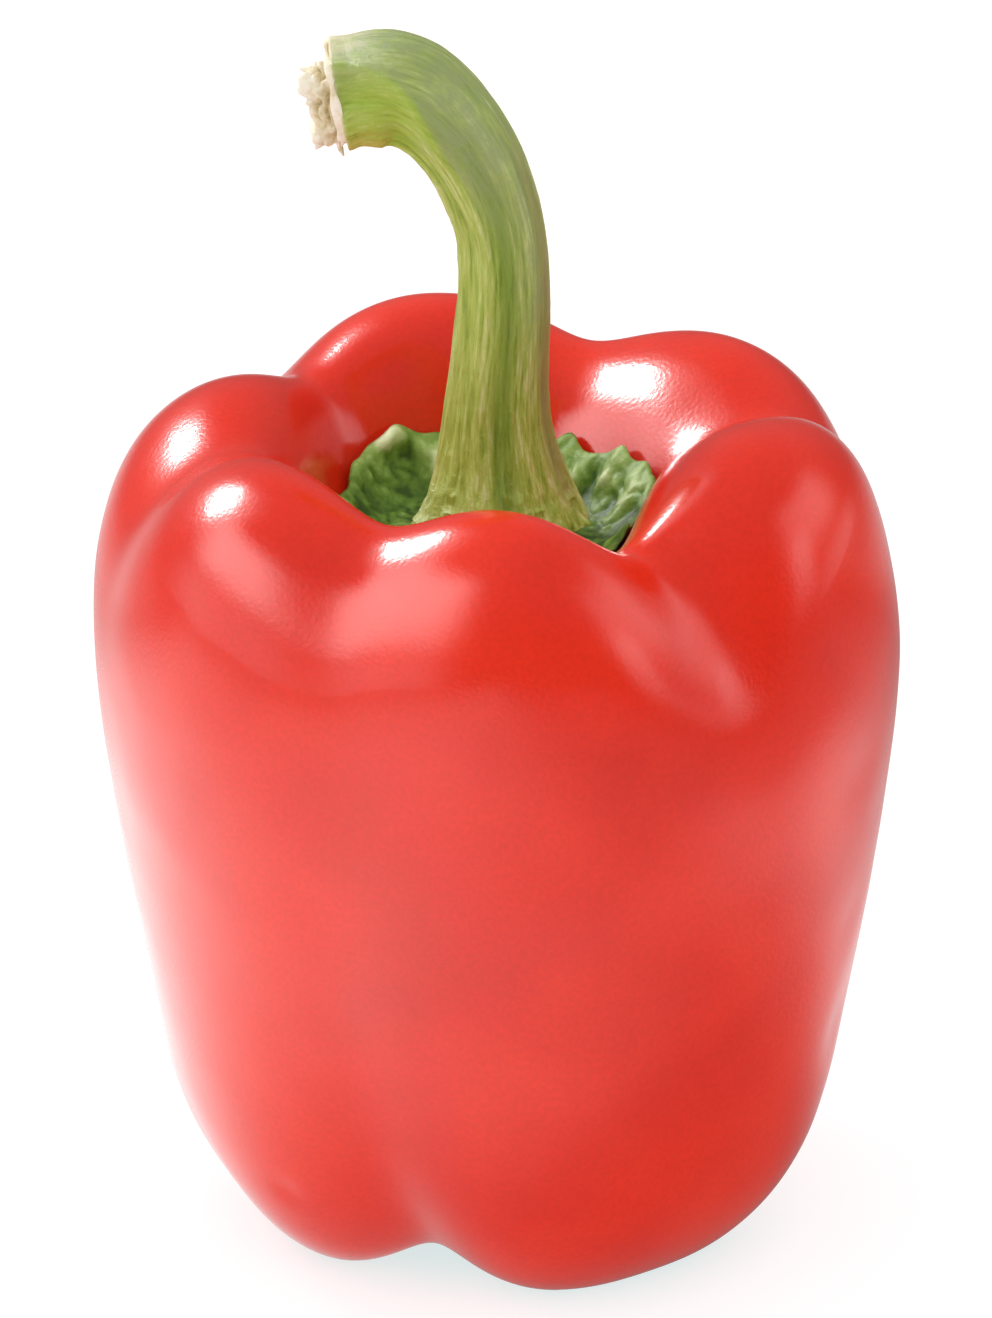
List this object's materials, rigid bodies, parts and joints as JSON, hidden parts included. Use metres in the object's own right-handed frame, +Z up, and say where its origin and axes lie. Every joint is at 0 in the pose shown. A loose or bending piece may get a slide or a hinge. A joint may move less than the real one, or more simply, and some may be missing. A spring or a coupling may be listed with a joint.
{
  "type": "bell pepper",
  "caption": "Blocky lobed fruit with a deep hollow between its shoulders, a star-shaped calyx in the hollow and a thick hooked stalk with a dry torn end.",
  "frame": {"origin": "centre of the footprint, on the surface the fruit rests on", "axes": "+Z up along the fruit towards the stalk, -Y towards the viewer of the lowest shoulder, the stalk hooks over towards -X"},
  "size_m": [0.0824, 0.0824, 0.1275],
  "materials": {
    "fruit": "stands in for smooth waxy red skin, glossy",
    "calyx": "stands in for crinkled mid green plant tissue, soft sheen",
    "stem": "stands in for ribbed yellow-green plant stalk, soft sheen",
    "dry_end": "stands in for dry papery cream plant tissue, matt"
  },
  "bodies": {
    "root": {"fruit": "fruit", "calyx": "calyx", "stem": "stem", "dry_end": "dry_end"}
  },
  "joints": []
}
